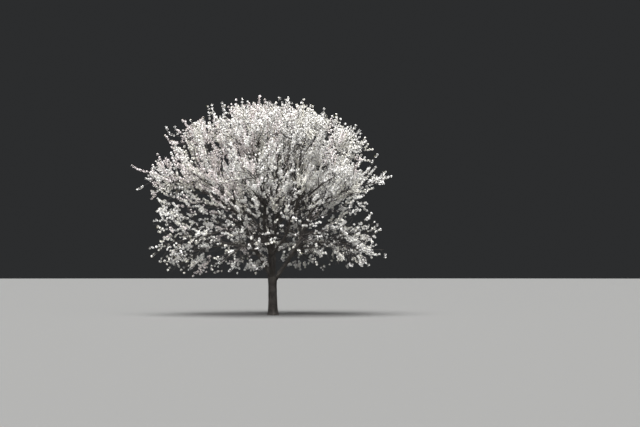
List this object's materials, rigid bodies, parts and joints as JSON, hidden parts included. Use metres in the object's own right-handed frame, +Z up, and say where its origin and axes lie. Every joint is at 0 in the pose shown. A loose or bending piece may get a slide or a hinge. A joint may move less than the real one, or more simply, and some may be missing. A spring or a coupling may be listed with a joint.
{
  "type": "white cherry tree in blossom",
  "caption": "A broad, domed cherry tree in full white blossom on a short dark trunk that forks at chest height.",
  "frame": {"origin": "the middle of the trunk's flat cut at ground level", "axes": "+Z up along the trunk, +X to the right of the pictured side, +Y away from the viewer"},
  "size_m": [9.9562, 8.7265, 8.4281],
  "materials": {
    "bark": "matte",
    "blossom": "matte"
  },
  "bodies": {
    "root": {"trunk": "bark", "leader": "bark", "back_bough": "bark", "back_left_bough": "bark", "back_right_bough": "bark", "front_bough": "bark", "front_left_bough": "bark", "front_right_bough": "bark", "high_bough_1": "bark", "high_bough_2": "bark", "high_bough_3": "bark", "high_bough_4": "bark", "high_bough_5": "bark", "high_bough_6": "bark", "inner_bough_1": "bark", "inner_bough_2": "bark", "inner_bough_3": "bark", "left_bough": "bark", "low_back_bough": "bark", "low_back_left_bough": "bark", "low_back_right_bough": "bark", "low_front_bough": "bark", "low_front_left_bough": "bark", "low_front_right_bough": "bark", "low_left_bough": "bark", "low_right_bough": "bark", "right_bough": "bark", "top_bough_1": "bark", "top_bough_2": "bark", "top_bough_3": "bark", "back_blossom": "blossom", "back_left_blossom": "blossom", "back_right_blossom": "blossom", "front_blossom": "blossom", "front_left_blossom": "blossom", "front_right_blossom": "blossom", "high_blossom_1": "blossom", "high_blossom_2": "blossom", "high_blossom_3": "blossom", "high_blossom_4": "blossom", "high_blossom_5": "blossom", "high_blossom_6": "blossom", "inner_blossom_1": "blossom", "inner_blossom_2": "blossom", "inner_blossom_3": "blossom", "leader_blossom": "blossom", "left_blossom": "blossom", "low_back_blossom": "blossom", "low_back_left_blossom": "blossom", "low_back_right_blossom": "blossom", "low_front_blossom": "blossom", "low_front_left_blossom": "blossom", "low_front_right_blossom": "blossom", "low_left_blossom": "blossom", "low_right_blossom": "blossom", "right_blossom": "blossom", "top_blossom_1": "blossom", "top_blossom_2": "blossom", "top_blossom_3": "blossom"}
  },
  "joints": []
}
